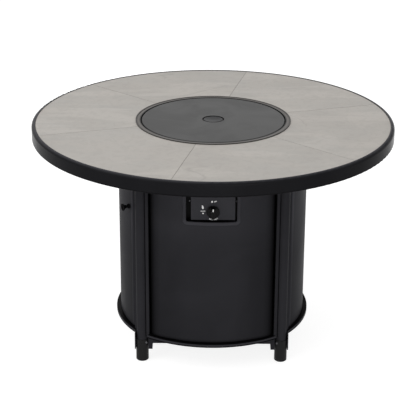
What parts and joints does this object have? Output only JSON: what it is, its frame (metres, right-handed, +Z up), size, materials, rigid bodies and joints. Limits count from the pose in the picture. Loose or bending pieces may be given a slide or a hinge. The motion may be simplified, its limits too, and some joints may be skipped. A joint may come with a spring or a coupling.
{
  "type": "gas fire pit table",
  "caption": "Round tiled fire pit table on a drum base: burner pan under a lift-off lid, gas control with a push-and-turn knob, and a curved door to the bottle bay.",
  "frame": {"origin": "on the floor under the centre of the table top", "axes": "+Z up; -Y is the front, where the gas control is; -X is the side with the door"},
  "size_m": [1.0669, 1.067, 0.6895],
  "materials": {
    "powder_coat": "satin black powder coat",
    "rim_coat": "satin black powder coat",
    "lid_coat": "smooth satin black paint",
    "handle_coat": "satin black paint",
    "tile": "matt warm grey tile with faint clouding",
    "cement_board": "raw cement board",
    "pan_coat": "satin dark bronze paint",
    "shield_steel": "plain steel sheet",
    "box_coat": "matt black paint",
    "grout": "fine grey grout",
    "white_print": "white print on the control plate and knob",
    "burner_steel": "satin stainless steel",
    "sensor_metal": "plain metal",
    "plate_coat": "satin black paint",
    "valve_brass": "cast and turned",
    "stem_steel": "turned, zinc plated",
    "knob_plastic": "semi-gloss black",
    "door_knob_coat": "black",
    "foot_plastic": "matt black",
    "catch_plastic": "matt black",
    "electrode_ceramic": "white",
    "pipe_aluminium": "drawn tube",
    "screw_steel": "blackened zinc"
  },
  "bodies": {
    "table": {"air_mixer": "burner_steel", "base_plate": "powder_coat", "burner_pan": "pan_coat", "burner_ring": "burner_steel", "control_box": "box_coat", "control_plate": "plate_coat", "door_catch": "catch_plastic", "electrode_bracket": "burner_steel", "flame_sensor": "sensor_metal", "foot_front_left": "foot_plastic", "foot_front_right": "foot_plastic", "foot_rear_left": "foot_plastic", "foot_rear_right": "foot_plastic", "foot_screws": "screw_steel", "front_panel": "powder_coat", "front_rail": "powder_coat", "gas_pipe": "pipe_aluminium", "gas_valve": "valve_brass", "heat_shield": "shield_steel", "left_rail": "powder_coat", "leg_bolts": "screw_steel", "leg_front_left": "powder_coat", "leg_front_right": "powder_coat", "leg_rear_left": "powder_coat", "leg_rear_right": "powder_coat", "panel_screws": "screw_steel", "piezo_igniter": "catch_plastic", "plate_screws": "screw_steel", "rear_panel": "powder_coat", "rear_rail": "powder_coat", "right_panel": "powder_coat", "right_rail": "powder_coat", "socket_bolts": "screw_steel", "socket_front_left": "powder_coat", "socket_front_right": "powder_coat", "socket_rear_left": "powder_coat", "socket_rear_right": "powder_coat", "spark_electrode": "electrode_ceramic", "support_deck": "cement_board", "tank_ring": "powder_coat", "tile_1": "tile", "tile_2": "tile", "tile_3": "tile", "tile_4": "tile", "tile_5": "tile", "tile_6": "tile", "top_frame": "powder_coat", "top_rim": "rim_coat", "upper_ring": "powder_coat", "valve_nut": "valve_brass"},
    "door": {"door": "powder_coat", "door_knob": "door_knob_coat", "door_knob_screw": "screw_steel", "hinge_pins": "stem_steel"},
    "lid": {"lid": "lid_coat"},
    "lift_knob": {"lift_knob": "handle_coat", "lift_knob_collar": "stem_steel"},
    "valve_plug": {"valve_plug": "valve_brass"},
    "control_knob": {"control_knob": "knob_plastic", "valve_stem": "stem_steel"}
  },
  "joints": [
    {"name": "door_hinge", "type": "hinge", "parent": "table", "child": "door", "pos_m": [-0.22607, 0.165, 0.3685], "axis": [0, 0, -1], "range_deg": [0, 100]},
    {"name": "lid_lift", "type": "slide", "parent": "table", "child": "lid", "axis": [0, 0, 1], "range_m": [0, 0.25]},
    {"name": "lift_knob_pull", "type": "slide", "parent": "lid", "child": "lift_knob", "axis": [0, 0, 1], "range_m": [0, 0.018]},
    {"name": "knob_turn", "type": "hinge", "parent": "table", "child": "valve_plug", "pos_m": [0.002, -0.239, 0.502], "axis": [0, -1, 0], "range_deg": [0, 180]},
    {"name": "knob_push", "type": "slide", "parent": "valve_plug", "child": "control_knob", "axis": [0, 1, 0], "range_m": [0, 0.004], "stiffness_N_per_m": 1500, "springref_m": -0.001}
  ]
}
